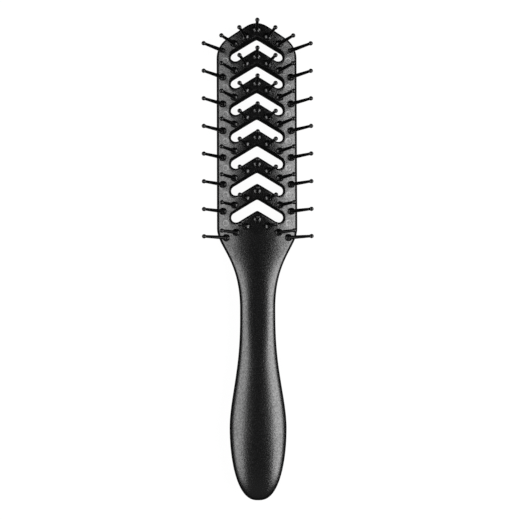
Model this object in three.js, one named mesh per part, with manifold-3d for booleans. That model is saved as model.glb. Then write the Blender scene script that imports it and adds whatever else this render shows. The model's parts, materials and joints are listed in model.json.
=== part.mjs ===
// Vent brush: a moulded vented frame, head and handle in one, that carries eight rows of ball-tipped pins.
// Units are millimetres. The brush lies on its back: +Y runs from the handle to the tip of the head,
// +Z is the side that the pins stand on, and z = 0 is the surface that the brush rests on.
import * as THREE from 'three';
import { mergeVertices } from 'three/addons/utils/BufferGeometryUtils.js';
import Module from 'manifold-3d';

const wasm = await Module();
wasm.setup();

// Head
const headWidth = 36.6;
const crownHeight = 6.4;
const edgeThickness = 2.3;
const tipFlatHalf = 1.6;
const tipRadius = 9;
const tipSlope = THREE.MathUtils.degToRad(31);
const cornerRadius = 10;

// Shoulder and handle
const shoulderLength = 36.65;
const shoulderPull = 8.7;
const shoulderHaste = 0.75;
const shoulderSquareness = 1.5;
const neckPull = 22.7;
const neckWidth = 15.8;
const neckThickness = 8.5;
const neckSquareness = 2.6;
const roundOffLength = 26;
const neckLift = 1.2;
const neckToGrip = 53.45;
const gripWidth = 25.45;
const gripThickness = 12;
const gripSquareness = 2;
const gripToEnd = 32.15;
const endFlatHalf = 1.5;
const swellDelay = 1.45;
const endFullness = 0.4;
const endDepthFullness = 0.3;
const endSquareness = 2.7;

// Pin rows, as chevrons that point to the tip
const rowCount = 8;
const columnsPerSide = 3;
const rowPitch = 12.24;
const tipToFirstRow = 3.3;
const lastRowToShoulder = 3.67;
const chevronAngle = THREE.MathUtils.degToRad(31.4);
const innerColumn = 5.15;
const outerColumnMargin = 2.85;
const outerColumnRise = 0.4;
const lastRowTuck = 1.4;
const lastRowDrop = 0.6;
const tipOverhang = 5.37;

// Vents between the rows
const ventHeight = 5.25;
const ventPlace = 0.48;
const railWidth = 6.45;
const apexRounding = 0.5;

// Pins, their bosses and sockets
const pinLength = 16;
const ballRadius = 0.98;
const stemRootRadius = 0.85;
const stemTipRadius = 0.57;
const bossHeight = 1.1;
const bossWall = 0.5;
const bossDraft = 0.25;
const bossRoot = 1.2;
const socketDepth = 2;
const socketClearance = 0.3;

// Facets
const ringPoints = 24;
const tipSteps = 4;
const cornerSteps = 6;
const shoulderSteps = 11;
const swellSteps = 9;
const endSteps = 9;
const ventCurveSteps = 5;
const bossSides = 10;
const socketSides = 8;
const pinSides = 6;
const ballSteps = 4;
const mergeDistance = 1e-4;

const headHalf = headWidth / 2;
const headLength = tipToFirstRow + (rowCount - 1) * rowPitch + lastRowDrop + lastRowToShoulder;
const frameLength = headLength + shoulderLength + neckToGrip + gripToEnd;
const tipY = frameLength / 2;
const shoulderY = tipY - headLength;
const neckY = shoulderY - shoulderLength;
const gripY = neckY - neckToGrip;
const chevronSlope = Math.tan(chevronAngle);
const faceSagitta = crownHeight - edgeThickness;
const faceRadius = (headHalf ** 2 + faceSagitta ** 2) / (2 * faceSagitta);
const socketRadius = stemRootRadius + socketClearance;
const bossTopRadius = socketRadius + bossWall;
const bossRootRadius = bossTopRadius + bossDraft;
const tipColumnPitch = (headHalf + tipOverhang) / columnsPerSide;

const frameMaterial = new THREE.MeshStandardMaterial({ color: 0x17171a, roughness: 0.5, metalness: 0 });
const pinMaterial = new THREE.MeshStandardMaterial({ color: 0x0e0e10, roughness: 0.35, metalness: 0 });

// Eases from 0 to 1 as t goes from 0 to 1, level at both ends.
function ease(t) {
  const s = THREE.MathUtils.clamp(t, 0, 1);
  return s * s * (3 - 2 * s);
}

// Distance of a column from the centre line. Side 0 is the middle column, and the others count outwards,
// evenly spaced from the inner column to the outer one, less than zero on the left.
function columnX(row, side) {
  const tuck = row === rowCount ? lastRowTuck : 0;
  const outerColumn = headHalf - outerColumnMargin - tuck;
  const step = (Math.abs(side) - 1) / (columnsPerSide - 1);
  return Math.sign(side) * THREE.MathUtils.lerp(innerColumn, outerColumn, step);
}

// Place along the brush of a pin, which lies lower in its row the further it is from the centre line. The
// outermost pins stand a little higher than the line of the others.
function pinY(row, side) {
  const drop = row === rowCount ? lastRowDrop : 0;
  const rowY = tipY - tipToFirstRow - (row - 1) * rowPitch - drop;
  const rise = Math.abs(side) === columnsPerSide ? outerColumnRise : 0;
  return rowY - chevronSlope * Math.abs(columnX(row, side)) + rise;
}

// Height of the head's face, an arc across the head, at a distance x from the centre line.
function faceHeight(x) {
  return crownHeight - faceRadius + Math.sqrt(faceRadius ** 2 - x ** 2);
}

// Points [half width, y] along the head's outline, from the tip to the start of the shoulder: an arc over
// the tip, a straight slope, an arc round the corner and a straight side.
function headOutline() {
  const points = [];
  const startAngle = Math.acos(tipFlatHalf / tipRadius);
  const slopeAngle = Math.PI / 2 - tipSlope;
  const tipCentreY = tipY - tipRadius * Math.sin(startAngle);
  for (let i = 0; i <= tipSteps; i++) {
    const angle = THREE.MathUtils.lerp(startAngle, slopeAngle, i / tipSteps);
    points.push([tipRadius * Math.cos(angle), tipCentreY + tipRadius * Math.sin(angle)]);
  }
  const [slopeX, slopeY] = points[tipSteps];
  const cornerX = headHalf - cornerRadius;
  const cornerStartX = cornerX + cornerRadius * Math.cos(slopeAngle);
  const cornerStartY = slopeY - (cornerStartX - slopeX) * Math.tan(tipSlope);
  const cornerY = cornerStartY - cornerRadius * Math.sin(slopeAngle);
  for (let i = 0; i <= cornerSteps; i++) {
    const angle = slopeAngle * (1 - i / cornerSteps);
    points.push([cornerX + cornerRadius * Math.cos(angle), cornerY + cornerRadius * Math.sin(angle)]);
  }
  points.push([headHalf, shoulderY]);
  return points;
}

// How far the handle has swelled, from 0 at the neck to 1 at the grip's widest place.
function swell(y) {
  return ease(((neckY - y) / neckToGrip) ** swellDelay);
}

// How much of the grip's width or thickness is left, from 1 at its widest place down to the end's flat.
function endTaper(y, fullness) {
  const endReach = 1 - (2 * endFlatHalf / gripWidth) ** (1 / endFullness);
  return (1 - endReach * ((gripY - y) / gripToEnd) ** 2) ** fullness;
}

// Points [half width, y] along the shoulder and the handle, down to the small flat at the end.
function handleOutline() {
  const points = [];
  const shoulder = new THREE.CubicBezierCurve(
    new THREE.Vector2(headHalf, shoulderY),
    new THREE.Vector2(headHalf, shoulderY - shoulderPull),
    new THREE.Vector2(neckWidth / 2, neckY + neckPull),
    new THREE.Vector2(neckWidth / 2, neckY),
  );
  for (const point of shoulder.getPoints(shoulderSteps).slice(1)) {
    points.push([point.x, point.y]);
  }
  for (let i = 1; i <= swellSteps; i++) {
    const y = THREE.MathUtils.lerp(neckY, gripY, i / swellSteps);
    points.push([(neckWidth + (gripWidth - neckWidth) * swell(y)) / 2, y]);
  }
  for (let i = 1; i <= endSteps; i++) {
    const y = gripY - gripToEnd * Math.sin(Math.PI / 2 * i / endSteps);
    points.push([gripWidth / 2 * endTaper(y, endFullness), y]);
  }
  return points;
}

// Thickness of the handle at y, the height of its middle, and the power of its superellipse: 2 is an ellipse,
// and more is squarer.
function handleDepth(y) {
  const grown = swell(Math.min(y, neckY));
  const left = y < gripY ? endTaper(y, endDepthFullness) : 1;
  const thickness = (neckThickness + (gripThickness - neckThickness) * grown) * left;
  const middle = THREE.MathUtils.lerp(neckLift + neckThickness / 2, gripThickness / 2, grown);
  const farPower = y > neckY ? shoulderSquareness : gripSquareness;
  const nearPower = THREE.MathUtils.lerp(neckSquareness, farPower, ease(Math.abs(y - neckY) / roundOffLength));
  const endShare = THREE.MathUtils.clamp((gripY - y) / gripToEnd, 0, 1);
  const power = THREE.MathUtils.lerp(nearPower, endSquareness, endShare);
  return [thickness, middle, power];
}

// One closed ring of the frame, anticlockwise seen from the handle: flat-backed with an arched face as far
// as the last pins, a superellipse on the handle, and a mix of the two in between.
function ring(halfWidth, y) {
  const archEndY = pinY(rowCount, columnsPerSide) - bossRootRadius;
  const handleShare = THREE.MathUtils.clamp((archEndY - y) / (archEndY - neckY), 0, 1);
  const mix = ease(handleShare ** shoulderHaste);
  const [thickness, middle, power] = handleDepth(y);
  const points = [];
  for (let k = 0; k < ringPoints; k++) {
    const angle = 2 * Math.PI * k / ringPoints;
    const x = halfWidth * Math.cos(angle);
    const onSide = 2 * k % ringPoints === 0;
    const onFace = k < ringPoints / 2;
    const faceZ = onFace ? faceHeight(x) : 0;
    const headZ = onSide ? faceHeight(halfWidth) / 2 : faceZ;
    const rise = (1 - Math.abs(Math.cos(angle)) ** power) ** (1 / power);
    const handleZ = middle + thickness / 2 * Math.sign(Math.sin(angle)) * rise;
    points.push([x, y, THREE.MathUtils.lerp(headZ, handleZ, mix)]);
  }
  return points;
}

// A closed skin over rings that follow each other, with a fan of triangles over each end.
function loft(rings) {
  const positions = rings.flat(2);
  const indices = [];
  const count = rings[0].length;
  for (let r = 0; r + 1 < rings.length; r++) {
    for (let k = 0; k < count; k++) {
      const a = r * count + k;
      const b = r * count + (k + 1) % count;
      indices.push(a, b, a + count, b, b + count, a + count);
    }
  }
  const last = (rings.length - 1) * count;
  for (let k = 1; k + 1 < count; k++) {
    indices.push(0, k + 1, k);
    indices.push(last, last + k, last + k + 1);
  }
  const geometry = new THREE.BufferGeometry();
  geometry.setAttribute('position', new THREE.Float32BufferAttribute(positions, 3));
  geometry.setIndex(indices);
  return geometry;
}

// A chevron slot through the head with round ends and softened points, centred on y.
function ventCutter(y) {
  const radius = ventHeight / 2 * Math.cos(chevronAngle);
  const armX = headHalf - railWidth - radius;
  const armY = y - chevronSlope * armX;
  const upper = y + ventHeight / 2;
  const lower = y - ventHeight / 2;
  const drop = chevronSlope * apexRounding;
  const square = Math.PI / 2 - chevronAngle;
  const shape = new THREE.Shape();
  shape.moveTo(-apexRounding, upper - drop);
  shape.quadraticCurveTo(0, upper, apexRounding, upper - drop);
  shape.absarc(armX, armY, radius, square, square - Math.PI, true);
  shape.lineTo(apexRounding, lower - drop);
  shape.quadraticCurveTo(0, lower, -apexRounding, lower - drop);
  shape.absarc(-armX, armY, radius, -square, -square - Math.PI, true);
  shape.closePath();
  const depth = 2 * crownHeight;
  const options = { depth, bevelEnabled: false, curveSegments: ventCurveSteps };
  return new THREE.ExtrudeGeometry(shape, options).translate(0, 0, -depth / 4);
}

// Where each pin stands: its row and column numbers, its root on the face and its lean to the side.
function pinPlaces() {
  const places = [];
  for (let row = 1; row <= rowCount; row++) {
    for (let side = -columnsPerSide; side <= columnsPerSide; side++) {
      const x = columnX(row, side);
      const lean = Math.asin((side * tipColumnPitch - x) / pinLength);
      const root = new THREE.Vector3(x, pinY(row, side), faceHeight(x));
      places.push({ name: `pin_row${row}_col${side + columnsPerSide + 1}`, root, lean });
    }
  }
  return places;
}

// A round post or hole on a pin's axis, between two distances from the pin's root on the face.
function onPinAxis(place, topRadius, bottomRadius, from, to, sides) {
  const geometry = new THREE.CylinderGeometry(topRadius, bottomRadius, to - from, sides);
  geometry.rotateX(Math.PI / 2).translate(0, 0, (from + to) / 2);
  return geometry.rotateY(place.lean).translate(place.root.x, place.root.y, place.root.z);
}

// A solid for joining and cutting, from a closed geometry.
function toSolid(geometry) {
  const bare = geometry.clone();
  bare.deleteAttribute('normal');
  bare.deleteAttribute('uv');
  const merged = mergeVertices(bare, mergeDistance);
  const vertProperties = new Float32Array(merged.attributes.position.array);
  const triVerts = new Uint32Array(merged.index.array);
  return new wasm.Manifold(new wasm.Mesh({ numProp: 3, vertProperties, triVerts }));
}

// A mesh geometry from a joined and cut solid.
function toGeometry(solid) {
  const mesh = solid.getMesh();
  const geometry = new THREE.BufferGeometry();
  geometry.setAttribute('position', new THREE.BufferAttribute(mesh.vertProperties, 3));
  geometry.setIndex(new THREE.BufferAttribute(mesh.triVerts, 1));
  geometry.computeVertexNormals();
  return geometry;
}

// The frame: lofted head and handle, with a boss and a blind socket for each pin, and the vents cut through.
function makeFrame(places) {
  const rings = [...headOutline(), ...handleOutline()].map(([halfWidth, y]) => ring(halfWidth, y));
  let solid = toSolid(loft(rings));
  for (const place of places) {
    const boss = onPinAxis(place, bossTopRadius, bossRootRadius, -bossRoot, bossHeight, bossSides);
    solid = solid.add(toSolid(boss));
  }
  for (const place of places) {
    const floor = bossHeight - socketDepth;
    const socket = onPinAxis(place, socketRadius, socketRadius, floor, bossHeight + socketDepth, socketSides);
    solid = solid.subtract(toSolid(socket));
  }
  for (let vent = 1; vent < rowCount; vent++) {
    const y = tipY - tipToFirstRow - (vent - 1 + ventPlace) * rowPitch;
    solid = solid.subtract(toSolid(ventCutter(y)));
  }
  const mesh = new THREE.Mesh(toGeometry(solid), frameMaterial);
  mesh.name = 'vented_frame';
  return mesh;
}

// One pin, upright, with the centre of its root on the face at the origin: a tapered stem whose foot stands
// in the socket, and a ball on its tip.
function pinGeometry() {
  const foot = bossHeight - socketDepth + socketClearance;
  const neckAngle = Math.asin(stemTipRadius / ballRadius);
  const profile = [new THREE.Vector2(0, foot), new THREE.Vector2(stemRootRadius, foot)];
  for (let i = 0; i < ballSteps; i++) {
    const angle = THREE.MathUtils.lerp(neckAngle, Math.PI, i / ballSteps);
    profile.push(new THREE.Vector2(ballRadius * Math.sin(angle), pinLength - ballRadius * Math.cos(angle)));
  }
  profile.push(new THREE.Vector2(0, pinLength + ballRadius));
  return new THREE.LatheGeometry(profile, pinSides).rotateX(Math.PI / 2);
}

const brush = new THREE.Group();
const places = pinPlaces();
brush.add(makeFrame(places));
const pinShape = pinGeometry();
for (const place of places) {
  const pin = new THREE.Mesh(pinShape, pinMaterial);
  pin.name = place.name;
  pin.position.copy(place.root);
  pin.rotation.y = place.lean;
  brush.add(pin);
}

export default brush;
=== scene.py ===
"""Vent brush: a moulded frame with chevron vents through its head, and eight rows of ball-tipped pins.

Lengths are in metres. The brush lies on its back: +Y points to the tip of the head, and +Z is the side that
the pins stand on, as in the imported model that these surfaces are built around.
"""
import json
import math
from itertools import chain

import bpy
import numpy as np
from bpy.props import FloatProperty, FloatVectorProperty, PointerProperty
from mathutils import Matrix, Vector


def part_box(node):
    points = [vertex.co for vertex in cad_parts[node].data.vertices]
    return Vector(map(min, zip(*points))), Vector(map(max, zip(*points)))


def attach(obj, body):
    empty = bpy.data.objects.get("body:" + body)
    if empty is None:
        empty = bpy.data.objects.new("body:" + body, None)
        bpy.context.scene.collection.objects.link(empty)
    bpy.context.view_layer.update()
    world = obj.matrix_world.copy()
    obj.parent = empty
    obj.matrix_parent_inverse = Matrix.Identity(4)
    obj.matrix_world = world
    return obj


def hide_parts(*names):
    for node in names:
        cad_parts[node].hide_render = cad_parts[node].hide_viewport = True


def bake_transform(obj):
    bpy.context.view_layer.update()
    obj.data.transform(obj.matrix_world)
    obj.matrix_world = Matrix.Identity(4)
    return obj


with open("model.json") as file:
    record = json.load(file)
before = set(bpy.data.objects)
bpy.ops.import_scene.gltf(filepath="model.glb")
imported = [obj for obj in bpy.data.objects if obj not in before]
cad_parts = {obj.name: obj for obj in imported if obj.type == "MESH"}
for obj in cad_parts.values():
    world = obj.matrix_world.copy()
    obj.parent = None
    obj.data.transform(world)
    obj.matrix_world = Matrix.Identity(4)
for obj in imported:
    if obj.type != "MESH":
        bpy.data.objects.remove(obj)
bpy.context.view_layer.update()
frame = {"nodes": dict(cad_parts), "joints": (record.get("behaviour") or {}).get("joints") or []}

bl_info = {
    "name": "Vent Brush",
    "version": (1, 0, 0),
    "blender": (4, 5, 0),
    "location": "3D View > Sidebar > Vent Brush",
    "description": "Builds the surfaces, finishes and studio of a vent brush around its packed model",
    "category": "Add Mesh",
}

mm = 0.001
LENGTHWISE = np.array([0.0, 1.0, 0.0])

# Outline of the head, seen from above
FRAME_LOW, FRAME_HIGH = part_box("vented_frame")
TIP_Y = FRAME_HIGH.y
HEAD_HALF = FRAME_HIGH.x
TIP_RADIUS = 9 * mm
TIP_SLOPE = math.radians(31)
CORNER_RADIUS = 10 * mm

# Outline and section of the shoulder and the handle
END_Y = FRAME_LOW.y
GRIP_Y = END_Y + 32.15 * mm
NECK_Y = GRIP_Y + 53.45 * mm
SHOULDER_Y = NECK_Y + 36.65 * mm
ARCH_END_Y = SHOULDER_Y - 6.4 * mm
SHOULDER_PULL = 8.7 * mm
NECK_PULL = 22.7 * mm
SHOULDER_HASTE = 0.75
NECK_WIDTH = 15.8 * mm
NECK_THICKNESS = 8.5 * mm
NECK_SQUARENESS = 2.6
SHOULDER_SQUARENESS = 1.5
GRIP_SQUARENESS = 2
ROUND_OFF = 26 * mm
NECK_LIFT = 1.2 * mm
GRIP_WIDTH = 25.45 * mm
GRIP_THICKNESS = FRAME_HIGH.z
SWELL_DELAY = 1.45
END_FULLNESS = 0.4
END_DEPTH_FULLNESS = 0.3
END_SQUARENESS = 2.7
SMALLEST_HALF_WIDTH = 1e-6 * mm
PARTING_BAND = 0.3 * mm
EDGE_POWER = 1.5

# Chevron rows of pins and vents
ROW_COUNT = 8
COLUMN_COUNT = 7
CHEVRON_ANGLE = math.radians(31.4)
CHEVRON_SLOPE = math.tan(CHEVRON_ANGLE)
APEX_ROUNDING = 0.4 * mm
OUTER_RISE = 0.4 * mm
RISE_START_X = 11 * mm
RISE_END_X = 15.45 * mm
ROW_BAND_HALF = 2.1 * mm
BLOCK_EDGES = (2.57 * mm, 8.1 * mm, 12.85 * mm)
CHEVRON_FADE = 30 * mm

# Vents, with the rings round a vent's edge as shares of the draft and depths below the face
VENT_SHARE = 0.48
VENT_MARGIN_SHARE = 0.37
VENT_EDGE_SHARES = (1, 0.98, 0.96, 0.92, 0.56, 0.2)
VENT_EDGE_DEPTHS = np.array([0, 0.01, 0.04, 0.12, 0.55, 1]) * mm

# Bosses, with their foot's rings outside the rim and their rim's rings inside it and below the cone
BOSS_ROOM = 0.92
BOSS_FOOT_MARGINS = np.array([0.05, 0.015]) * mm
BOSS_RIM_INSETS = np.array([0, 0.01, 0.05]) * mm
BOSS_RIM_DROPS = np.array([0.12, 0.05, 0.01]) * mm
BOSS_RIM_WIDTH = 0.14 * mm
CONE_SLOPE = math.tan(math.radians(37))
CONE_RINGS = 5

# Ejector marks, with the rings of a mark's rim: one outside it, the rim itself, and two inside it
MARK_X = 14.45 * mm
MARK_ABOVE_ROW = 6.82 * mm
MARK_RIM_INSETS = np.array([-0.06, 0, 0.12, 0.4]) * mm
MARK_MIDDLE_SHARE = 0.5

# Pins, along their axes from the root on the face
PIVOT_ABOVE_ROOT = 0.25 * mm
FOOT_ABOVE_ROOT = 0.1 * mm
NECK_FILLET = 0.12 * mm
FOOT_FILLET = 0.12 * mm

# Finish, with the pores' fineness as a multiple of the grain's, and the clouds' in clouds to a metre
GRAIN_DETAIL = 2
PORE_FINENESS = 2.7
PORE_DETAIL = 1
PORE_SHARE = 0.4
GLOSS_START = 0.4
GLOSS_END = 0.6
CLOUD_FINENESS = 140
CLOUD_DETAIL = 3
MIDDLE_GRAIN = 0.5
ROUGHNESS_SPREAD = 0.06

# Stage
FLOOR_Z = -0.3 * mm
FLOOR_REACH = 4.0
LIGHT_DISTANCE = 0.36
LIGHT_WIDTH = 0.3
LIGHT_LENGTH = 0.46
LIGHT_TILT = math.radians(52)
RIGHT_LIGHT_TILT = math.radians(55)
LIGHT_Y = -0.05
CAMERA_PLACE = Vector((-8.343, -12.592, 453.287)) * mm
CAMERA_AIM = Vector((1.245, -0.047, 0)) * mm
CAMERA_ROLL = math.radians(0.212)

# Counts of points, cells and rings, and how they crowd together
OUTLINE_STEPS = 400
OUTLINE_POINTS = 6000
TIP_CELLS = 3
BLOCK_CELLS = 6
VENT_CELLS = 12
MARK_CELLS = 8
HANDLE_CELLS = 110
END_CELLS = 24
HANDLE_CROWDING = 1.4
EDGE_RINGS = 12
FILLET_RINGS = 5
WALL_SHARES = np.array([0.12, 0.5, 0.88])
PIN_SIDES = 16
STEM_RINGS = 26
BALL_RINGS = 9


class VentBrushSizes(bpy.types.PropertyGroup):
    """Sizes of the frame's surface and of the pins"""

    crown_height: FloatProperty(
        name="Crown Height", description="Height of the head's face on its centre line",
        default=6.4 * mm, min=3 * mm, max=12 * mm, unit="LENGTH", precision=5)
    edge_thickness: FloatProperty(
        name="Edge Thickness", description="Height of the head's face at its straight sides",
        default=2.3 * mm, min=2.2 * mm, max=5 * mm, unit="LENGTH", precision=5)
    edge_inset: FloatProperty(
        name="Edge Inset", description="Width of the rounding along the head's edge",
        default=1.1 * mm, min=0.3 * mm, max=1.15 * mm, unit="LENGTH", precision=5)
    edge_drop: FloatProperty(
        name="Edge Drop", description="Depth of the rounding along the face's edge",
        default=1.65 * mm, min=0.3 * mm, max=1.7 * mm, unit="LENGTH", precision=5)
    back_drop: FloatProperty(
        name="Back Drop", description="Depth of the rounding along the back's edge",
        default=0.4 * mm, min=0.2 * mm, max=0.45 * mm, unit="LENGTH", precision=5)
    parting_ridge: FloatProperty(
        name="Parting Ridge", description="How far the mould's parting line stands out",
        default=0.05 * mm, min=0, max=0.2 * mm, unit="LENGTH", precision=6)
    vent_height: FloatProperty(
        name="Vent Height", description="Height of a vent along the brush",
        default=5.25 * mm, min=3 * mm, max=5.6 * mm, unit="LENGTH", precision=5)
    rail_width: FloatProperty(
        name="Rail Width", description="Width of the head left beside the vents",
        default=6.45 * mm, min=6.4 * mm, max=8 * mm, unit="LENGTH", precision=5)
    vent_rounding: FloatProperty(
        name="Vent Rounding", description="Width of the rounding on a vent's edge in the back",
        default=0.15 * mm, min=0.05 * mm, max=0.2 * mm, unit="LENGTH", precision=5)
    vent_draft: FloatProperty(
        name="Vent Draft", description="How much a vent's outline grows from the back to the face",
        default=0.92 * mm, min=0.1 * mm, max=0.92 * mm, unit="LENGTH", precision=5)
    boss_radius: FloatProperty(
        name="Boss Radius", description="Radius of the boss round a pin's foot",
        default=1.63 * mm, min=1.2 * mm, max=1.65 * mm, unit="LENGTH", precision=5)
    boss_height: FloatProperty(
        name="Boss Height", description="Height of a boss's rim above the face, along the pin",
        default=0.9 * mm, min=0.4 * mm, max=1.1 * mm, unit="LENGTH", precision=5)
    mark_radius: FloatProperty(
        name="Mark Radius", description="Radius of the round marks that the mould's ejector pins leave",
        default=1.52 * mm, min=1 * mm, max=1.53 * mm, unit="LENGTH", precision=5)
    mark_depth: FloatProperty(
        name="Mark Depth", description="Depth of the ejector marks",
        default=0.05 * mm, min=0, max=0.3 * mm, unit="LENGTH", precision=6)
    stem_root_radius: FloatProperty(
        name="Stem Root Radius", description="Radius of a pin's stem at its root",
        default=0.9 * mm, min=0.3 * mm, max=1 * mm, unit="LENGTH", precision=5)
    stem_tip_radius: FloatProperty(
        name="Stem Tip Radius", description="Radius of a pin's stem under its ball",
        default=0.61 * mm, min=0.2 * mm, max=0.7 * mm, unit="LENGTH", precision=5)
    ball_radius: FloatProperty(
        name="Ball Radius", description="Radius of the ball on a pin's tip",
        default=0.98 * mm, min=0.75 * mm, max=1.5 * mm, unit="LENGTH", precision=5)


class VentBrushFinish(bpy.types.PropertyGroup):
    """Colours and grain of the two plastics"""

    frame_color: FloatVectorProperty(
        name="Frame Colour", description="Colour of the frame's plastic",
        subtype="COLOR", size=3, min=0, max=1, default=(0.001, 0.001, 0.0011))
    frame_haze: FloatVectorProperty(
        name="Frame Haze", description="Colour of the paler flow clouds in the frame's plastic",
        subtype="COLOR", size=3, min=0, max=1, default=(0.002, 0.002, 0.0021))
    frame_roughness: FloatProperty(
        name="Frame Roughness", description="Roughness of the frame's grained skin",
        subtype="FACTOR", default=0.27, min=0, max=1)
    frame_sheen: FloatProperty(
        name="Frame Sheen", description="Strength of the clear sheen on the higher grains of the skin",
        subtype="FACTOR", default=0.6, min=0, max=1)
    mark_sheen: FloatProperty(
        name="Mark Sheen", description="Strength of the clear sheen that the ejector marks' rims add",
        subtype="FACTOR", default=0.7, min=0, max=1)
    boss_roughness: FloatProperty(
        name="Boss Roughness", description="Roughness of the bosses, which have no grain",
        subtype="FACTOR", default=0.16, min=0, max=1)
    frame_grain_size: FloatProperty(
        name="Frame Grain Size", description="Width of a grain of the frame's skin",
        default=0.8 * mm, min=0.1 * mm, max=2 * mm, unit="LENGTH", precision=5)
    frame_grain_depth: FloatProperty(
        name="Frame Grain Depth", description="Depth of the frame's grain",
        default=0.1 * mm, min=0, max=0.2 * mm, unit="LENGTH", precision=6)
    pin_color: FloatVectorProperty(
        name="Pin Colour", description="Colour of the pins' plastic",
        subtype="COLOR", size=3, min=0, max=1, default=(0.0008, 0.0008, 0.0009))
    pin_haze: FloatVectorProperty(
        name="Pin Haze", description="Colour of the paler clouds in the pins' plastic",
        subtype="COLOR", size=3, min=0, max=1, default=(0.0015, 0.0015, 0.0016))
    pin_roughness: FloatProperty(
        name="Pin Roughness", description="Roughness of the pins",
        subtype="FACTOR", default=0.16, min=0, max=1)
    pin_shine: FloatProperty(
        name="Pin Shine", description="Strength of the pins' reflections",
        subtype="FACTOR", default=0.3, min=0, max=1)
    pin_grain_size: FloatProperty(
        name="Pin Grain Size", description="Width of a grain of the pins' skin",
        default=0.3 * mm, min=0.1 * mm, max=2 * mm, unit="LENGTH", precision=5)
    pin_grain_depth: FloatProperty(
        name="Pin Grain Depth", description="Depth of the pins' grain",
        default=0.006 * mm, min=0, max=0.1 * mm, unit="LENGTH", precision=6)


class VentBrushStage(bpy.types.PropertyGroup):
    """Floor, lights and camera of the studio"""

    floor_color: FloatVectorProperty(
        name="Floor Colour", description="Colour of the floor and of the room seen behind it",
        subtype="COLOR", size=3, min=0, max=1, default=(1.0, 1.0, 1.0))
    floor_glow: FloatProperty(
        name="Floor Glow", description="Light that the floor sends out by itself, which softens shadows",
        subtype="FACTOR", default=0.95, min=0, max=1)
    floor_reflection: FloatProperty(
        name="Floor Reflection", description="Share of the studio's light that the floor sends back",
        subtype="FACTOR", default=0.05, min=0, max=1)
    room_light: FloatProperty(
        name="Room Light", description="Strength of the dim light from all round",
        default=0.01, min=0, max=2)
    left_light: FloatProperty(
        name="Left Light", description="Power of the soft light on the left",
        default=2.15, min=0, max=100, unit="POWER")
    right_light: FloatProperty(
        name="Right Light", description="Power of the soft light on the right",
        default=3.1, min=0, max=100, unit="POWER")
    front_light: FloatProperty(
        name="Front Light", description="Power of the dim light beyond the end of the handle",
        default=0.06, min=0, max=100, unit="POWER")
    focal_length: FloatProperty(
        name="Focal Length", description="Focal length of the camera, in millimetres",
        default=68.68, min=20, max=200, unit="CAMERA")


class Skin:
    """Points of one closed surface, patches of faces as point numbers, and masks of some of the points."""

    def __init__(self):
        self.points = np.zeros((0, 3))
        self.patches = []
        self.masks = {"polish": [], "smooth": []}

    def add(self, points):
        """Takes in an array of points and gives back their numbers in the same layout."""
        first = len(self.points)
        self.points = np.concatenate([self.points, points.reshape(-1, 3)])
        return (first + np.arange(points[..., 0].size)).reshape(points.shape[:-1])

    def band(self, loops):
        """Four-sided faces between closed loops of points that follow each other, one loop to a row."""
        near, far = loops[:-1], loops[1:]
        quads = np.stack([near, far, np.roll(far, -1, 1), np.roll(near, -1, 1)], -1)
        self.patches.append(quads.reshape(-1, 4))

    def close(self, loop, point):
        """Triangles from the last loop to one point in its middle."""
        pole = np.broadcast_to(self.add(point), loop.shape)
        self.patches.append(np.stack([loop, pole, np.roll(loop, -1)], -1))

    def make(self, name, material):
        """A smooth mesh object of the points that faces use, with each mask as an attribute of 0 or 1."""
        used = np.unique(np.concatenate([patch.ravel() for patch in self.patches]))
        renumbered = np.zeros(len(self.points), int)
        renumbered[used] = np.arange(len(used))
        faces = chain.from_iterable(renumbered[patch].tolist() for patch in self.patches)
        mesh = bpy.data.meshes.new(name)
        mesh.from_pydata(self.points[used].tolist(), [], list(faces))
        mesh.shade_smooth()
        mesh.materials.append(material)
        for mask, groups in self.masks.items():
            if groups:
                chosen = np.zeros(len(self.points), np.float32)
                chosen[np.concatenate(groups)] = 1
                attribute = mesh.attributes.new(mask, "FLOAT", "POINT")
                attribute.data.foreach_set("value", chosen[used])
        if mesh.validate():
            raise RuntimeError(f"{name}: the surface has faulty faces")
        piece = bpy.data.objects.new(name, mesh)
        bpy.context.scene.collection.objects.link(piece)
        return piece


def ease(t):
    """Eases from 0 to 1 as t goes from 0 to 1, level at both ends."""
    s = np.clip(t, 0, 1)
    return s * s * (3 - 2 * s)


def lerp(start, end, share):
    """The value that lies a share of the way from start to end."""
    return start + (end - start) * share


def chevron(x):
    """How far a chevron has dropped at x: its slope times the distance from the centre line.

    Its point is rounded to a hyperbola. Near the sides it rises again a little, eased, to the outer pins.
    """
    rise = OUTER_RISE * ease((np.abs(x) - RISE_START_X) / (RISE_END_X - RISE_START_X))
    return CHEVRON_SLOPE * np.hypot(x, APEX_ROUNDING) - rise


def swell(y):
    """How far the handle has swelled, from 0 at the neck to 1 at the widest place of the grip."""
    share = np.clip((NECK_Y - y) / (NECK_Y - GRIP_Y), 0, 1)
    return ease(share**SWELL_DELAY)


def share_of_end(y):
    """How far y lies into the handle's end, from 0 at the widest place of the grip to 1."""
    return np.clip((GRIP_Y - y) / (GRIP_Y - END_Y), 0, 1)


def end_taper(y, fullness):
    """What is left of the grip at a share s of its end: (1 - s squared) to the power of the fullness."""
    return (1 - share_of_end(y) ** 2) ** fullness


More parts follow.
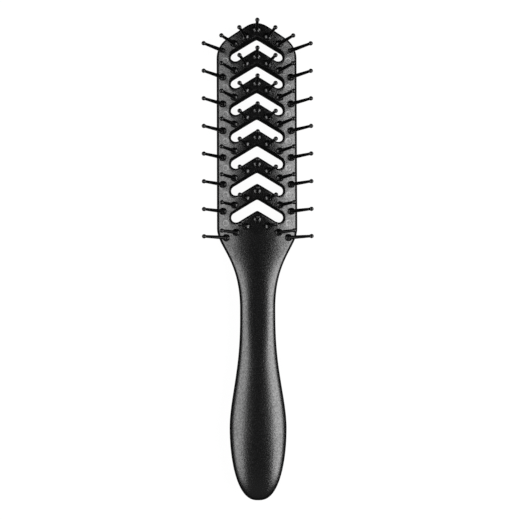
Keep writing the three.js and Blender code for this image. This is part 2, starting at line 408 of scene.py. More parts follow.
class Outline:
    """The right half of the frame's outline from the tip to the end, with its normals and its inset line.

    An arc goes over the tip, then a straight slope, an arc round the corner, a straight side, a cubic
    Bezier curve down the shoulder, the eased swell of the handle, and the blunt taper of its end.
    """

    def __init__(self, inset):
        self.inset = inset
        t = np.linspace(0, 1, OUTLINE_STEPS)
        slope_angle = math.pi / 2 - TIP_SLOPE
        tip_angle = lerp(math.pi / 2, slope_angle, t)
        tip = [TIP_RADIUS * np.cos(tip_angle), TIP_Y - TIP_RADIUS + TIP_RADIUS * np.sin(tip_angle)]
        corner_x = HEAD_HALF - CORNER_RADIUS
        slope_run = corner_x + CORNER_RADIUS * math.cos(slope_angle) - tip[0][-1]
        corner_y = tip[1][-1] - slope_run * math.tan(TIP_SLOPE) - CORNER_RADIUS * math.sin(slope_angle)
        corner_angle = lerp(slope_angle, 0, t)
        corner = [corner_x + CORNER_RADIUS * np.cos(corner_angle),
                  corner_y + CORNER_RADIUS * np.sin(corner_angle)]
        weights = np.stack([(1 - t) ** 3, 3 * t * (1 - t) ** 2, 3 * t**2 * (1 - t), t**3])
        shoulder = np.array([
            (HEAD_HALF, HEAD_HALF, NECK_WIDTH / 2, NECK_WIDTH / 2),
            (SHOULDER_Y, SHOULDER_Y - SHOULDER_PULL, NECK_Y + NECK_PULL, NECK_Y),
        ]) @ weights
        swell_y = lerp(NECK_Y, GRIP_Y, t)
        handle = [lerp(NECK_WIDTH, GRIP_WIDTH, swell(swell_y)) / 2, swell_y]
        end_y = lerp(GRIP_Y, END_Y, np.sin(math.pi / 2 * t))
        end = [GRIP_WIDTH / 2 * end_taper(end_y, END_FULLNESS), end_y]
        x, y = np.concatenate([tip, corner, shoulder, handle, end], 1)
        walked = np.concatenate([[0], np.cumsum(np.hypot(np.diff(x), np.diff(y)))])
        even = np.linspace(0, walked[-1], OUTLINE_POINTS)
        self.x = np.interp(even, walked, x)
        self.y = np.interp(even, walked, y)
        along_x, along_y = np.gradient(self.x), np.gradient(self.y)
        length = np.hypot(along_x, along_y)
        self.normal_x = -along_y / length
        self.normal_y = along_x / length
        self.normal_x[[0, -1]] = 0
        self.normal_y[[0, -1]] = 1, -1
        self.inset_x = self.x - inset * self.normal_x
        self.inset_y = self.y - inset * self.normal_y
        self.steps = np.arange(OUTLINE_POINTS)
        self.corner = np.argmax(self.normal_x > self.normal_y)
        self.end = OUTLINE_POINTS - 1 - np.argmax((self.normal_x > -self.normal_y)[::-1])

    def at(self, step):
        """Inset point and outward normal at each step along the outline, as x, y, normal x, normal y."""
        lines = self.inset_x, self.inset_y, self.normal_x, self.normal_y
        return np.stack([np.interp(step, self.steps, line) for line in lines])

    def half_width(self, y):
        """Half the width of the outline at y."""
        return np.interp(-y, -self.y, self.x)

    def step_of_row(self, row_line):
        """Steps down the side where the inset line crosses chevrons, given by the y that they drop from."""
        side = slice(self.corner, self.end + 1)
        line = self.inset_y[side] + chevron(self.inset_x[side])
        return np.interp(-np.asarray(row_line), -line, self.steps[side])


class Heights:
    """Heights of the frame's face and back: an arched plate at the head, an oval on the handle."""

    def __init__(self, sizes, outline):
        self.outline = outline
        self.inset = sizes.edge_inset
        self.edge_drop = sizes.edge_drop
        self.back_drop = sizes.back_drop
        self.crown = sizes.crown_height
        sagitta = sizes.crown_height - sizes.edge_thickness
        self.arch_radius = (HEAD_HALF**2 + sagitta**2) / (2 * sagitta)

    def arch(self, x):
        """Height of the head's face, an arc across the head."""
        return self.crown - self.arch_radius + np.sqrt(self.arch_radius**2 - x**2)

    def oval(self, x, y, depth):
        """Middle of the handle's oval and its half height at x, on a superellipse.

        The half height is half the thickness times (1 - (x / half width) to the power p) to the power 1 / p.
        The power p, the squareness, has a value each for the shoulder, the neck, the grip and the end.
        """
        grown = swell(y)
        thickness = lerp(NECK_THICKNESS, GRIP_THICKNESS, grown) * end_taper(y, END_DEPTH_FULLNESS)
        middle = lerp(NECK_LIFT + NECK_THICKNESS / 2, GRIP_THICKNESS / 2, grown)
        half_width = np.maximum(self.outline.half_width(y), SMALLEST_HALF_WIDTH)
        far_power = np.where(y > NECK_Y, SHOULDER_SQUARENESS, GRIP_SQUARENESS)
        power = lerp(NECK_SQUARENESS, far_power, ease(np.abs(y - NECK_Y) / ROUND_OFF))
        power = lerp(power, END_SQUARENESS, share_of_end(y))
        height = np.clip(1 - np.abs(x / half_width) ** power, 0, 1) ** (1 / power)
        height = np.where(depth > 0, height, 0)
        return middle, PARTING_BAND / 2 + np.maximum(thickness - PARTING_BAND, 0) / 2 * height

    def rounding(self, depth):
        """Quarter of a superellipse along the edge: 1 at the edge, and 0 from the inset line inwards."""
        reach = np.clip(1 - depth / self.inset, 0, 1)
        return 1 - (1 - reach**EDGE_POWER) ** (1 / EDGE_POWER)

    def handle_share(self, y):
        """0 on the head, 1 from the neck down, eased over the shoulder and quickest in its upper part."""
        share = np.clip((ARCH_END_Y - y) / (ARCH_END_Y - NECK_Y), 0, 1)
        return ease(share**SHOULDER_HASTE)

    def face(self, x, y, depth):
        """Height of the face at x and y, as far inside the outline as depth."""
        middle, half = self.oval(x, y, depth)
        plate = self.arch(x) - self.edge_drop * self.rounding(depth)
        return lerp(plate, middle + half, self.handle_share(y))

    def back(self, x, y, depth):
        """Height of the back at x and y, as far inside the outline as depth."""
        middle, half = self.oval(x, y, depth)
        plate = self.back_drop * self.rounding(depth)
        return lerp(plate, middle - half, self.handle_share(y))

    def on_face(self, x, y):
        """Points of the face at x and y, clear of the edge's rounding."""
        return np.stack([x, y, self.face(x, y, self.inset)], -1)

    def on_back(self, x, y):
        """Points of the back at x and y, clear of the edge's rounding."""
        return np.stack([x, y, self.back(x, y, self.inset)], -1)


class Net:
    """Rows and columns of the frame seen from above, with a block of cells for each pin, mark and vent.

    Columns are fixed shares of each row's half width. Rows are chevrons on the head, straighten over the
    shoulder, and take the shape of the inset outline at the tip and at the end. The rows over the tip bend
    as the uppermost row of the pins' blocks does, so that they don't cross it.
    """

    def __init__(self, outline, row_lines):
        self.outline = outline
        half = HEAD_HALF - outline.inset
        edges = [0, *BLOCK_EDGES, half]
        cells = [BLOCK_CELLS // 2] + [BLOCK_CELLS] * 3
        spans = [np.linspace(a, b, n + 1)[1:] for a, b, n in zip(edges, edges[1:], cells)]
        right = np.concatenate(spans) / half
        self.share = np.concatenate([-right[::-1], [0], right])
        bands = []
        for upper, lower in zip(row_lines, row_lines[1:]):
            bands.append(np.linspace(upper + ROW_BAND_HALF, upper - ROW_BAND_HALF, BLOCK_CELLS + 1)[:-1])
            bands.append(np.linspace(upper - ROW_BAND_HALF, lower + ROW_BAND_HALF, VENT_CELLS + 1)[:-1])
        last = row_lines[-1]
        bands.append(np.linspace(last + ROW_BAND_HALF, last - ROW_BAND_HALF, BLOCK_CELLS + 1))
        head = outline.step_of_row(np.concatenate(bands))
        tip = np.linspace(outline.corner, head[0], TIP_CELLS + 1)[:-1]
        along = 1 - (1 - np.linspace(0, 1, HANDLE_CELLS + 1)[1:]) ** HANDLE_CROWDING
        handle = lerp(head[-1], outline.end, along)
        self.side = outline.at(np.concatenate([tip, head, handle]))
        self.tip = self.cross_row(self.side[0, 0], slice(0, outline.corner + 1))
        self.end = self.cross_row(self.side[0, -1], slice(OUTLINE_POINTS - 1, outline.end - 1, -1))
        reach, side_y = self.side[0, :, None], self.side[1, :, None]
        rows = np.arange(len(reach))[:, None]
        fade = ease((side_y[TIP_CELLS + len(head) - 1] - side_y) / CHEVRON_FADE)
        tip_share = np.clip(1 - rows / TIP_CELLS, 0, 1)
        end_share = ease(1 - (len(reach) - 1 - rows) / END_CELLS)
        self.x = self.share * reach
        bent = (chevron(reach) - chevron(self.x)) * (1 - fade)
        bent[:TIP_CELLS] = bent[TIP_CELLS]
        tip_rise = self.tip[1] - side_y[0]
        end_rise = self.end[1] - side_y[-1]
        self.y = side_y + lerp(bent, tip_rise, tip_share) + end_rise * end_share

    def cross_row(self, reach, stretch):
        """Inset points and normals across the tip or the end, at the columns' shares of the reach."""
        x = self.share * reach
        step = np.interp(np.abs(x), self.outline.inset_x[stretch], self.outline.steps[stretch])
        row = self.outline.at(step)
        row[[0, 2]] *= np.sign(x)
        return row

    def edge(self):
        """Inset points and normals along the whole edge, in the order of edge_loop."""
        left = self.side * np.array([[-1], [1], [-1], [1]])
        stretches = self.tip[:, :0:-1], left[:, :-1], self.end[:, :-1], self.side[:, :0:-1]
        return np.concatenate(stretches, 1)


def edge_loop(numbers):
    """Border of an array of point numbers: tip row from the right, left side, end row, and right side."""
    return np.concatenate([numbers[0, :0:-1], numbers[:-1, 0], numbers[-1, :-1], numbers[:0:-1, -1]])


def block_loop(numbers, rows, columns):
    """Border of a block of cells, from its upper left corner along its upper row and round."""
    block = numbers[rows.start:rows.stop + 1, columns.start:columns.stop + 1]
    return np.concatenate([block[0, :-1], block[:-1, -1], block[-1, :0:-1], block[:0:-1, 0]])


def vent_ring(sizes, middle_y, grow):
    """A vent's outline, grown by some width: two edges along the chevron and a half circle at each end.

    It has as many points as the border of the vent's block, in the same order.
    """
    radius = sizes.vent_height / 2 * math.cos(CHEVRON_ANGLE)
    arm_x = HEAD_HALF - sizes.rail_width - radius
    radius = radius + grow
    across = (COLUMN_COUNT - 2) * BLOCK_CELLS
    share = np.linspace(-1, 1, across + 1)
    upper_x = share * (arm_x + radius * math.sin(CHEVRON_ANGLE))
    lower_x = share * (arm_x - radius * math.sin(CHEVRON_ANGLE))
    rise = radius / math.cos(CHEVRON_ANGLE)
    angle = np.linspace(math.pi / 2, -math.pi / 2, VENT_CELLS + 1)[1:-1] - CHEVRON_ANGLE
    arc_x = arm_x + radius * np.cos(angle)
    arc_y = middle_y - chevron(arm_x) + radius * np.sin(angle)
    x = np.concatenate([upper_x, arc_x, lower_x[::-1], -arc_x[::-1]])
    upper_y = middle_y + rise - chevron(upper_x)
    lower_y = middle_y - rise - chevron(lower_x)
    return x, np.concatenate([upper_y, arc_y, lower_y[::-1], arc_y[::-1]])


def add_vent(skin, heights, sizes, middle_y, face_loop, back_loop):
    """A vent's skin: over a crisp edge, down a steep chamfer and a drafted wall, and out at the back.

    One ring lies on the face between the border of the vent's block and its edge. The edge's rings lie at
    shares of the draft from the opening, and sink by a depth that is set for each. The wall's rings lie
    straight between these and the back's rounded edge, a quarter of a circle.
    """
    border = skin.points[face_loop]
    edge = heights.on_face(*vent_ring(sizes, middle_y, sizes.vent_draft))
    margin = lerp(border, edge, VENT_MARGIN_SHARE)
    rings = [heights.on_face(margin[:, 0], margin[:, 1])]
    for share, depth in zip(VENT_EDGE_SHARES, VENT_EDGE_DEPTHS):
        x, y = vent_ring(sizes, middle_y, sizes.vent_draft * share)
        rings.append(heights.on_face(x, y) - (0, 0, depth))
    back_rings = []
    for angle in np.linspace(0, math.pi / 2, FILLET_RINGS + 1):
        x, y = vent_ring(sizes, middle_y, sizes.vent_rounding * (1 - math.sin(angle)))
        back_rings.append(heights.on_back(x, y) + (0, 0, sizes.vent_rounding * (1 - math.cos(angle))))
    wall = lerp(rings[-1], back_rings[-1], WALL_SHARES[:, None, None])
    inner = skin.add(np.stack([*rings, *wall, *back_rings[::-1]]))
    skin.band(np.concatenate([face_loop[None], inner, back_loop[None]]))


def cone_height(sizes, radius):
    """Height of a boss's cone above the pin's root, along the pin's axis, at some radius from it."""
    return sizes.boss_height + (sizes.boss_radius - radius) * CONE_SLOPE


def add_boss(skin, heights, sizes, root, axis, loop):
    """A pin's boss: a short post that leans with the pin, under a low cone.

    The foot is two rings on the face. The top's rings have a radius and a height on the pin's axis, and go
    over the rim and up the cone to the pin's stem. The wall's rings lie straight between foot and rim. The
    post and the cone are smooth, without the face's grain.
    """
    border = skin.points[loop]
    to_border = np.hypot(border[:, 0] - root[0], border[:, 1] - root[1])
    rim = min(sizes.boss_radius, BOSS_ROOM * to_border.min())
    angle = np.arctan2(border[:, 1] - root[1], border[:, 0] - root[0])
    foot_radii = rim + BOSS_FOOT_MARGINS[:, None]
    foot = heights.on_face(root[0] + foot_radii * np.cos(angle), root[1] + foot_radii * np.sin(angle))
    cone = np.linspace(rim - BOSS_RIM_WIDTH, sizes.stem_root_radius, CONE_RINGS)
    radii = np.concatenate([rim - BOSS_RIM_INSETS, cone])
    along = cone_height(sizes, radii) - np.concatenate([BOSS_RIM_DROPS, 0 * cone])
    radii, along = radii[:, None, None], along[:, None, None]
    outward = np.cos(angle)[:, None] * np.cross(LENGTHWISE, axis) + np.sin(angle)[:, None] * LENGTHWISE
    top = root + along * axis + radii * outward
    wall = lerp(foot[1], top[0], WALL_SHARES[:, None, None])
    rings = skin.add(np.concatenate([foot, wall, top]))
    skin.band(np.concatenate([loop[None], rings]))
    skin.close(rings[-1], root + along[-1, 0] * axis)
    skin.masks["smooth"].append(rings[1:].ravel())


def add_mark(skin, heights, sizes, middle, loop):
    """A round mark: rings on the face that sink by an even depth inside a crisp rim with a glossy border."""
    rim = sizes.mark_radius
    radii = np.append(rim - MARK_RIM_INSETS, rim * MARK_MIDDLE_SHARE)[:, None]
    sink = sizes.mark_depth * (radii < rim)
    border = skin.points[loop]
    angle = np.arctan2(border[:, 1] - middle[1], border[:, 0] - middle[0])
    x = middle[0] + radii * np.cos(angle)
    y = middle[1] + radii * np.sin(angle)
    points = heights.on_face(x, y)
    points[..., 2] -= sink
    rings = skin.add(points)
    skin.band(np.concatenate([loop[None], rings]))
    pole = heights.on_face(middle[:1], middle[1:])[0] - (0, 0, sizes.mark_depth)
    skin.close(rings[-1], pole)
    skin.masks["polish"].append(rings[1:len(MARK_RIM_INSETS)].ravel())


def add_edge(skin, heights, sizes, net, face_loop, back_loop):
    """The rounded edge all round: rings from the inset line out to the parting ridge, and back in below."""
    x, y, normal_x, normal_y = net.edge()
    depths = sizes.edge_inset * (1 - ease(np.linspace(0, 1, EDGE_RINGS + 1)[1:, None]))
    out = sizes.edge_inset - depths
    ring_x = x + out * normal_x
    ring_y = y + out * normal_y
    face = np.stack([ring_x, ring_y, heights.face(ring_x, ring_y, depths)], -1)
    back = np.stack([ring_x, ring_y, heights.back(ring_x, ring_y, depths)], -1)
    ridge = lerp(face[-1], back[-1], 0.5)
    ridge = ridge + sizes.parting_ridge * np.stack([normal_x, normal_y, 0 * normal_x], -1)
    rings = skin.add(np.concatenate([face, ridge[None], back[::-1]]))
    skin.band(np.concatenate([face_loop[None], rings, back_loop[None]]))


def pin_axis(joint):
    """A pin's root on the face, the direction of its stem and its length, from its joint and its node."""
    mesh = frame["nodes"][joint["child"]].data
    points = np.zeros(len(mesh.vertices) * 3)
    mesh.vertices.foreach_get("co", points)
    points = points.reshape(-1, 3)
    pivot = np.array(joint["pos_m"])
    reach = np.linalg.norm(points - pivot, axis=1)
    axis = (points[reach.argmax()] - pivot) / reach.max()
    return pivot - PIVOT_ABOVE_ROOT * axis, axis, reach.max() + PIVOT_ABOVE_ROOT


def pin_grid():
    """Joints of the pins in rows from the tip and columns from the left."""
    return np.array(frame["joints"], object).reshape(ROW_COUNT, COLUMN_COUNT)


def make_frame(sizes, material):
    """The whole frame as one closed skin: face, back, edge, vents, bosses and marks."""
    joints = pin_grid()
    axes = [[pin_axis(joint) for joint in row] for row in joints]
    roots = np.array([[root for root, *_ in row] for row in axes])
    row_lines = roots[:, COLUMN_COUNT // 2, 1]
    outline = Outline(sizes.edge_inset)
    heights = Heights(sizes, outline)
    net = Net(outline, row_lines)
    skin = Skin()
    face = skin.add(heights.on_face(net.x, net.y))
    back = skin.add(heights.on_back(net.x, net.y))
    face_kept = np.ones((face.shape[0] - 1, face.shape[1] - 1), bool)
    back_kept = face_kept.copy()
    pitch_cells = BLOCK_CELLS + VENT_CELLS
    vent_columns = slice(BLOCK_CELLS, (COLUMN_COUNT - 1) * BLOCK_CELLS)
    for row in range(ROW_COUNT):
        first = TIP_CELLS + row * pitch_cells
        boss_rows = slice(first, first + BLOCK_CELLS)
        for column in range(COLUMN_COUNT):
            columns = slice(column * BLOCK_CELLS, (column + 1) * BLOCK_CELLS)
            face_kept[boss_rows, columns] = False
            root, axis, _ = axes[row][column]
            add_boss(skin, heights, sizes, root, axis, block_loop(face, boss_rows, columns))
        if row + 1 == ROW_COUNT:
            break
        vent_rows = slice(boss_rows.stop, boss_rows.stop + VENT_CELLS)
        face_kept[vent_rows, vent_columns] = False
        back_kept[vent_rows, vent_columns] = False
        middle_y = row_lines[row] - VENT_SHARE * (row_lines[0] - row_lines[1])
        face_loop = block_loop(face, vent_rows, vent_columns)
        back_loop = block_loop(back, vent_rows, vent_columns)
        add_vent(skin, heights, sizes, middle_y, face_loop, back_loop)
        mark_rows = slice(vent_rows.start, vent_rows.start + MARK_CELLS)
        for column in (0, COLUMN_COUNT - 1):
            columns = slice(column * BLOCK_CELLS, (column + 1) * BLOCK_CELLS)
            face_kept[mark_rows, columns] = False
            next_root = roots[row + 1, column]
            row_y = next_root[1] + CHEVRON_SLOPE * (abs(next_root[0]) - MARK_X)
            middle = np.array([math.copysign(MARK_X, next_root[0]), row_y + MARK_ABOVE_ROW])
            add_mark(skin, heights, sizes, middle, block_loop(face, mark_rows, columns))
    add_edge(skin, heights, sizes, net, edge_loop(face), edge_loop(back))
    face_quads = np.stack([face[:-1, :-1], face[1:, :-1], face[1:, 1:], face[:-1, 1:]], -1)
    back_quads = np.stack([back[:-1, :-1], back[:-1, 1:], back[1:, 1:], back[1:, :-1]], -1)
    skin.patches += [face_quads[face_kept], back_quads[back_kept]]
    return skin.make("brush_frame", material)


def make_pin(sizes, joint, material):
    """One pin: a profile turned round its axis, from the ball down a tapered stem to a flared foot.

    Under the ball and at the foot the stem widens a little, by an amount that dies away as an exponential.
    """
    root, axis, length = pin_axis(joint)
    middle = length - sizes.ball_radius
    neck_radius = sizes.stem_tip_radius + NECK_FILLET
    ball_angle = np.linspace(0, math.pi - math.asin(neck_radius / sizes.ball_radius), BALL_RINGS + 1)[1:]
    ball_along = middle + sizes.ball_radius * np.cos(ball_angle)
    neck_along = ball_along[-1]
    stem_along = lerp(neck_along, FOOT_ABOVE_ROOT, ease(np.linspace(0, 1, STEM_RINGS + 1)[1:]))
    stem = lerp(sizes.stem_root_radius, sizes.stem_tip_radius, stem_along / middle)
    stem = stem + NECK_FILLET * np.exp((stem_along - neck_along) / NECK_FILLET)
    foot_along = cone_height(sizes, sizes.stem_root_radius)
    stem = stem + FOOT_FILLET * np.exp(-np.maximum(stem_along - foot_along, 0) / FOOT_FILLET)
    along = np.concatenate([ball_along, stem_along])[:, None, None]
    radius = np.concatenate([sizes.ball_radius * np.sin(ball_angle), stem])[:, None, None]
    turn = np.linspace(0, 2 * math.pi, PIN_SIDES, endpoint=False)[:, None]
    outward = np.cos(turn) * LENGTHWISE + np.sin(turn) * np.cross(axis, LENGTHWISE)
    skin = Skin()
    rings = skin.add(root + along * axis + radius * outward)
    skin.close(rings[0, ::-1], root + length * axis)
    skin.band(rings)
    skin.close(rings[-1], root + FOOT_ABOVE_ROOT * axis)
    pin = skin.make(f"{joint['child']}_skin", material)
    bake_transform(pin)
    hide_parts(joint["child"])


def grain_group():
    """Node group of a moulded skin, on Object coordinates: its grain's height, its gloss and slow clouds."""
    group = bpy.data.node_groups.get("moulded_grain")
    if group:
        return group
    group = bpy.data.node_groups.new("moulded_grain", "ShaderNodeTree")
    group.interface.new_socket("Fineness", in_out="INPUT", socket_type="NodeSocketFloat")
    for name in ("Height", "Gloss", "Clouds"):
        group.interface.new_socket(name, in_out="OUTPUT", socket_type="NodeSocketFloat")
    nodes, links = group.nodes, group.links
    given = nodes.new("NodeGroupInput")
    result = nodes.new("NodeGroupOutput")
    place = nodes.new("ShaderNodeTexCoord").outputs["Object"]
    grain = nodes.new("ShaderNodeTexNoise")
    grain.inputs["Detail"].default_value = GRAIN_DETAIL
    links.new(place, grain.inputs["Vector"])
    links.new(given.outputs["Fineness"], grain.inputs["Scale"])
    finer = nodes.new("ShaderNodeMath")
    finer.operation = "MULTIPLY"
    finer.inputs[1].default_value = PORE_FINENESS
    links.new(given.outputs["Fineness"], finer.inputs[0])
    pores = nodes.new("ShaderNodeTexNoise")
    pores.inputs["Detail"].default_value = PORE_DETAIL
    links.new(place, pores.inputs["Vector"])
    links.new(finer.outputs[0], pores.inputs["Scale"])
    height = nodes.new("ShaderNodeMix")
    height.inputs["Factor"].default_value = PORE_SHARE
    links.new(grain.outputs["Fac"], height.inputs["A"])
    links.new(pores.outputs["Fac"], height.inputs["B"])
    gloss = nodes.new("ShaderNodeMapRange")
    gloss.inputs["From Min"].default_value = GLOSS_START
    gloss.inputs["From Max"].default_value = GLOSS_END
    links.new(height.outputs["Result"], gloss.inputs["Value"])
    clouds = nodes.new("ShaderNodeTexNoise")
    clouds.inputs["Scale"].default_value = CLOUD_FINENESS
    clouds.inputs["Detail"].default_value = CLOUD_DETAIL
    links.new(place, clouds.inputs["Vector"])
    links.new(height.outputs["Result"], result.inputs["Height"])
    links.new(gloss.outputs["Result"], result.inputs["Gloss"])
    links.new(clouds.outputs["Fac"], result.inputs["Clouds"])
    return group


def plastic(name, color, haze, roughness, grain_size, grain_depth):
    """Black moulded plastic: clouded colour, roughness that follows the grain, and the grain as bump."""
    material = bpy.data.materials.new(name)
    material.use_nodes = True
    nodes, links = material.node_tree.nodes, material.node_tree.links
    shader = nodes["Principled BSDF"]
    grain = nodes.new("ShaderNodeGroup")
    grain.name = "grain"
    grain.node_tree = grain_group()
    grain.inputs["Fineness"].default_value = 1 / grain_size
    tint = nodes.new("ShaderNodeMix")
    tint.data_type = "RGBA"
    tint.inputs["A"].default_value = (*color, 1)
    tint.inputs["B"].default_value = (*haze, 1)
    links.new(grain.outputs["Clouds"], tint.inputs["Factor"])
    links.new(tint.outputs["Result"], shader.inputs["Base Color"])
    rough = nodes.new("ShaderNodeMapRange")
    rough.name = "grain_roughness"
    rough.inputs["To Min"].default_value = roughness + ROUGHNESS_SPREAD
    rough.inputs["To Max"].default_value = roughness - ROUGHNESS_SPREAD
    links.new(grain.outputs["Gloss"], rough.inputs["Value"])
    links.new(rough.outputs["Result"], shader.inputs["Roughness"])
    bump = nodes.new("ShaderNodeBump")
    bump.name = "grain_bump"
    bump.inputs["Strength"].default_value = 1
    bump.inputs["Distance"].default_value = grain_depth
    links.new(grain.outputs["Height"], bump.inputs["Height"])
    links.new(bump.outputs["Normal"], shader.inputs["Normal"])
    return material


def frame_plastic(finish):
    """The frame's grained plastic, with a clear sheen on the higher grains and on the ejector marks' rims.

    The smooth mask takes sheen and grain away on the bosses, and gives them a roughness of their own.
    """
    material = plastic("frame_plastic", finish.frame_color, finish.frame_haze, finish.frame_roughness,
                       finish.frame_grain_size, finish.frame_grain_depth)
    nodes, links = material.node_tree.nodes, material.node_tree.links
    shader = nodes["Principled BSDF"]
    grain = nodes["grain"]
    shader.inputs["Coat Roughness"].default_value = finish.frame_roughness
    sheen = nodes.new("ShaderNodeMath")
    sheen.operation = "MULTIPLY"
    sheen.inputs[1].default_value = finish.frame_sheen
    links.new(grain.outputs["Gloss"], sheen.inputs[0])
    polish = nodes.new("ShaderNodeAttribute")
    polish.attribute_name = "polish"
    with_marks = nodes.new("ShaderNodeMath")
    with_marks.operation = "MULTIPLY_ADD"
    with_marks.inputs[1].default_value = finish.mark_sheen
    links.new(polish.outputs["Fac"], with_marks.inputs[0])
    links.new(sheen.outputs[0], with_marks.inputs[2])
    smooth = nodes.new("ShaderNodeAttribute")
    smooth.attribute_name = "smooth"
    for skin_value, boss_value, socket in (
        (with_marks.outputs[0], 0, shader.inputs["Coat Weight"]),
        (grain.outputs["Height"], MIDDLE_GRAIN, nodes["grain_bump"].inputs["Height"]),
        (nodes["grain_roughness"].outputs["Result"], finish.boss_roughness, shader.inputs["Roughness"]),
    ):
        mixed = nodes.new("ShaderNodeMix")
        mixed.inputs["B"].default_value = boss_value
        links.new(smooth.outputs["Fac"], mixed.inputs["Factor"])
        links.new(skin_value, mixed.inputs["A"])
        links.new(mixed.outputs["Result"], socket)
    return material


def pin_plastic(finish):
    """The pins' smoother plastic, with a fainter shine."""
    material = plastic("pin_plastic", finish.pin_color, finish.pin_haze, finish.pin_roughness,
                       finish.pin_grain_size, finish.pin_grain_depth)
    shader = material.node_tree.nodes["Principled BSDF"]
    shader.inputs["Specular IOR Level"].default_value = finish.pin_shine
    return material


def make_floor(stage):
    """A wide pale floor just under the brush, which glows a little so that shadows on it stay light."""
    corners = [(-FLOOR_REACH, -FLOOR_REACH, FLOOR_Z), (FLOOR_REACH, -FLOOR_REACH, FLOOR_Z),
               (FLOOR_REACH, FLOOR_REACH, FLOOR_Z), (-FLOOR_REACH, FLOOR_REACH, FLOOR_Z)]
    mesh = bpy.data.meshes.new("floor")
    mesh.from_pydata(corners, [], [(0, 1, 2, 3)])
    material = bpy.data.materials.new("pale_floor")
    material.use_nodes = True
    shader = material.node_tree.nodes["Principled BSDF"]
    shader.inputs["Base Color"].default_value = (*(stage.floor_color * stage.floor_reflection), 1)
    shader.inputs["Roughness"].default_value = 1
    shader.inputs["Specular IOR Level"].default_value = 0
    shader.inputs["Emission Color"].default_value = (*stage.floor_color, 1)
    shader.inputs["Emission Strength"].default_value = stage.floor_glow
    mesh.materials.append(material)
    floor = bpy.data.objects.new("floor", mesh)
    floor.visible_glossy = False
    floor.visible_diffuse = False
    bpy.context.scene.collection.objects.link(floor)


def make_room(stage):
    """A world that is pale where the camera sees it and dim as a light."""
    world = bpy.data.worlds.new("studio")
    world.use_nodes = True
    nodes, links = world.node_tree.nodes, world.node_tree.links
    dim = nodes["Background"]
    dim.inputs["Color"].default_value = (*stage.floor_color, 1)
    dim.inputs["Strength"].default_value = stage.room_light
    pale = nodes.new("ShaderNodeBackground")
    pale.inputs["Color"].default_value = (*stage.floor_color, 1)
    seen = nodes.new("ShaderNodeLightPath")
    mixed = nodes.new("ShaderNodeMixShader")
    links.new(seen.outputs["Is Camera Ray"], mixed.inputs["Fac"])
    links.new(dim.outputs["Background"], mixed.inputs[1])
    links.new(pale.outputs["Background"], mixed.inputs[2])
    links.new(mixed.outputs["Shader"], nodes["World Output"].inputs["Surface"])
    bpy.context.scene.world = world


def make_light(name, heading, tilt, power):
    """A long soft light on the side of the brush that heading points to, tilted from straight above."""
    light = bpy.data.lights.new(name, "AREA")
    light.shape = "RECTANGLE"
    light.size = LIGHT_WIDTH
    light.size_y = LIGHT_LENGTH
    light.energy = power
    lamp = bpy.data.objects.new(name, light)
    upright = Vector((0, 0, 1))
    towards = heading * math.sin(tilt) + upright * math.cos(tilt)
    along = upright.cross(heading)
    turn = Matrix((along.cross(towards), along, towards)).transposed().to_4x4()
    lamp.matrix_world = Matrix.Translation(towards * LIGHT_DISTANCE + Vector((0, LIGHT_Y, 0))) @ turn
    lamp.visible_camera = False
    bpy.context.scene.collection.objects.link(lamp)


def make_camera(stage):
    """The camera, nearly straight above the brush, with the head up in the picture."""
    data = bpy.data.cameras.new("camera")
    data.lens = stage.focal_length
    camera = bpy.data.objects.new("camera", data)
    back = (CAMERA_PLACE - CAMERA_AIM).normalized()
    right = Vector((math.sin(CAMERA_ROLL), math.cos(CAMERA_ROLL), 0)).cross(back).normalized()
    turn = Matrix((right, back.cross(right), back)).transposed().to_4x4()
    camera.matrix_world = Matrix.Translation(CAMERA_PLACE) @ turn
    bpy.context.scene.collection.objects.link(camera)
    bpy.context.scene.camera = camera


class VENTBRUSH_OT_build_frame(bpy.types.Operator):
    """Build the frame: head, shoulder, neck and handle in one moulding"""

    bl_idname = "vent_brush.build_frame"
    bl_label = "Build Frame"

    def execute(self, context):
        material = frame_plastic(context.scene.vent_brush_finish)
        piece = make_frame(context.scene.vent_brush_sizes, material)
        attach(piece, "frame")
        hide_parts("vented_frame")
        return {"FINISHED"}


class VENTBRUSH_OT_build_pins(bpy.types.Operator):
    """Build the pins, one at the root of each joint"""

    bl_idname = "vent_brush.build_pins"
    bl_label = "Build Pins"

    def execute(self, context):
        material = pin_plastic(context.scene.vent_brush_finish)
        for joint in frame["joints"]:
            make_pin(context.scene.vent_brush_sizes, joint, material)
        return {"FINISHED"}


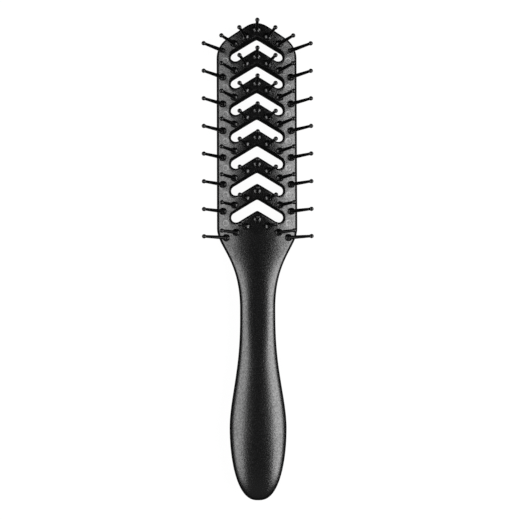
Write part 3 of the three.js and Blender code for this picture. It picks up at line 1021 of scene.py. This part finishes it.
class VENTBRUSH_OT_set_stage(bpy.types.Operator):
    """Set the floor, the room, the lights and the camera"""

    bl_idname = "vent_brush.set_stage"
    bl_label = "Set Stage"

    def execute(self, context):
        stage = context.scene.vent_brush_stage
        make_floor(stage)
        make_room(stage)
        make_light("left_light", Vector((-1, 0, 0)), LIGHT_TILT, stage.left_light)
        make_light("right_light", Vector((1, 0, 0)), RIGHT_LIGHT_TILT, stage.right_light)
        make_light("front_light", Vector((0, -1, 0)), LIGHT_TILT, stage.front_light)
        make_camera(stage)
        context.scene.view_settings.view_transform = "Standard"
        return {"FINISHED"}


class VENTBRUSH_PT_brush(bpy.types.Panel):
    """Sizes, finishes and steps of the vent brush"""

    bl_idname = "VENTBRUSH_PT_brush"
    bl_label = "Vent Brush"
    bl_space_type = "VIEW_3D"
    bl_region_type = "UI"
    bl_category = "Vent Brush"

    def draw(self, context):
        scene = context.scene
        for group, operator in (
            (scene.vent_brush_sizes, VENTBRUSH_OT_build_frame),
            (scene.vent_brush_finish, VENTBRUSH_OT_build_pins),
            (scene.vent_brush_stage, VENTBRUSH_OT_set_stage),
        ):
            column = self.layout.column(align=True)
            for name in group.__annotations__:
                column.prop(group, name)
            self.layout.operator(operator.bl_idname)


CLASSES = (
    VentBrushSizes,
    VentBrushFinish,
    VentBrushStage,
    VENTBRUSH_OT_build_frame,
    VENTBRUSH_OT_build_pins,
    VENTBRUSH_OT_set_stage,
    VENTBRUSH_PT_brush,
)


def register():
    """Makes the classes and the scene's settings known to Blender."""
    for known in CLASSES:
        bpy.utils.register_class(known)
    bpy.types.Scene.vent_brush_sizes = PointerProperty(type=VentBrushSizes)
    bpy.types.Scene.vent_brush_finish = PointerProperty(type=VentBrushFinish)
    bpy.types.Scene.vent_brush_stage = PointerProperty(type=VentBrushStage)


def unregister():
    """Takes the settings and the classes back out of Blender."""
    del bpy.types.Scene.vent_brush_stage
    del bpy.types.Scene.vent_brush_finish
    del bpy.types.Scene.vent_brush_sizes
    for known in reversed(CLASSES):
        bpy.utils.unregister_class(known)


def main():
    """Builds the brush and its stage."""
    register()
    bpy.ops.vent_brush.build_frame()
    bpy.ops.vent_brush.build_pins()
    bpy.ops.vent_brush.set_stage()


if __name__ == "__main__":
    main()
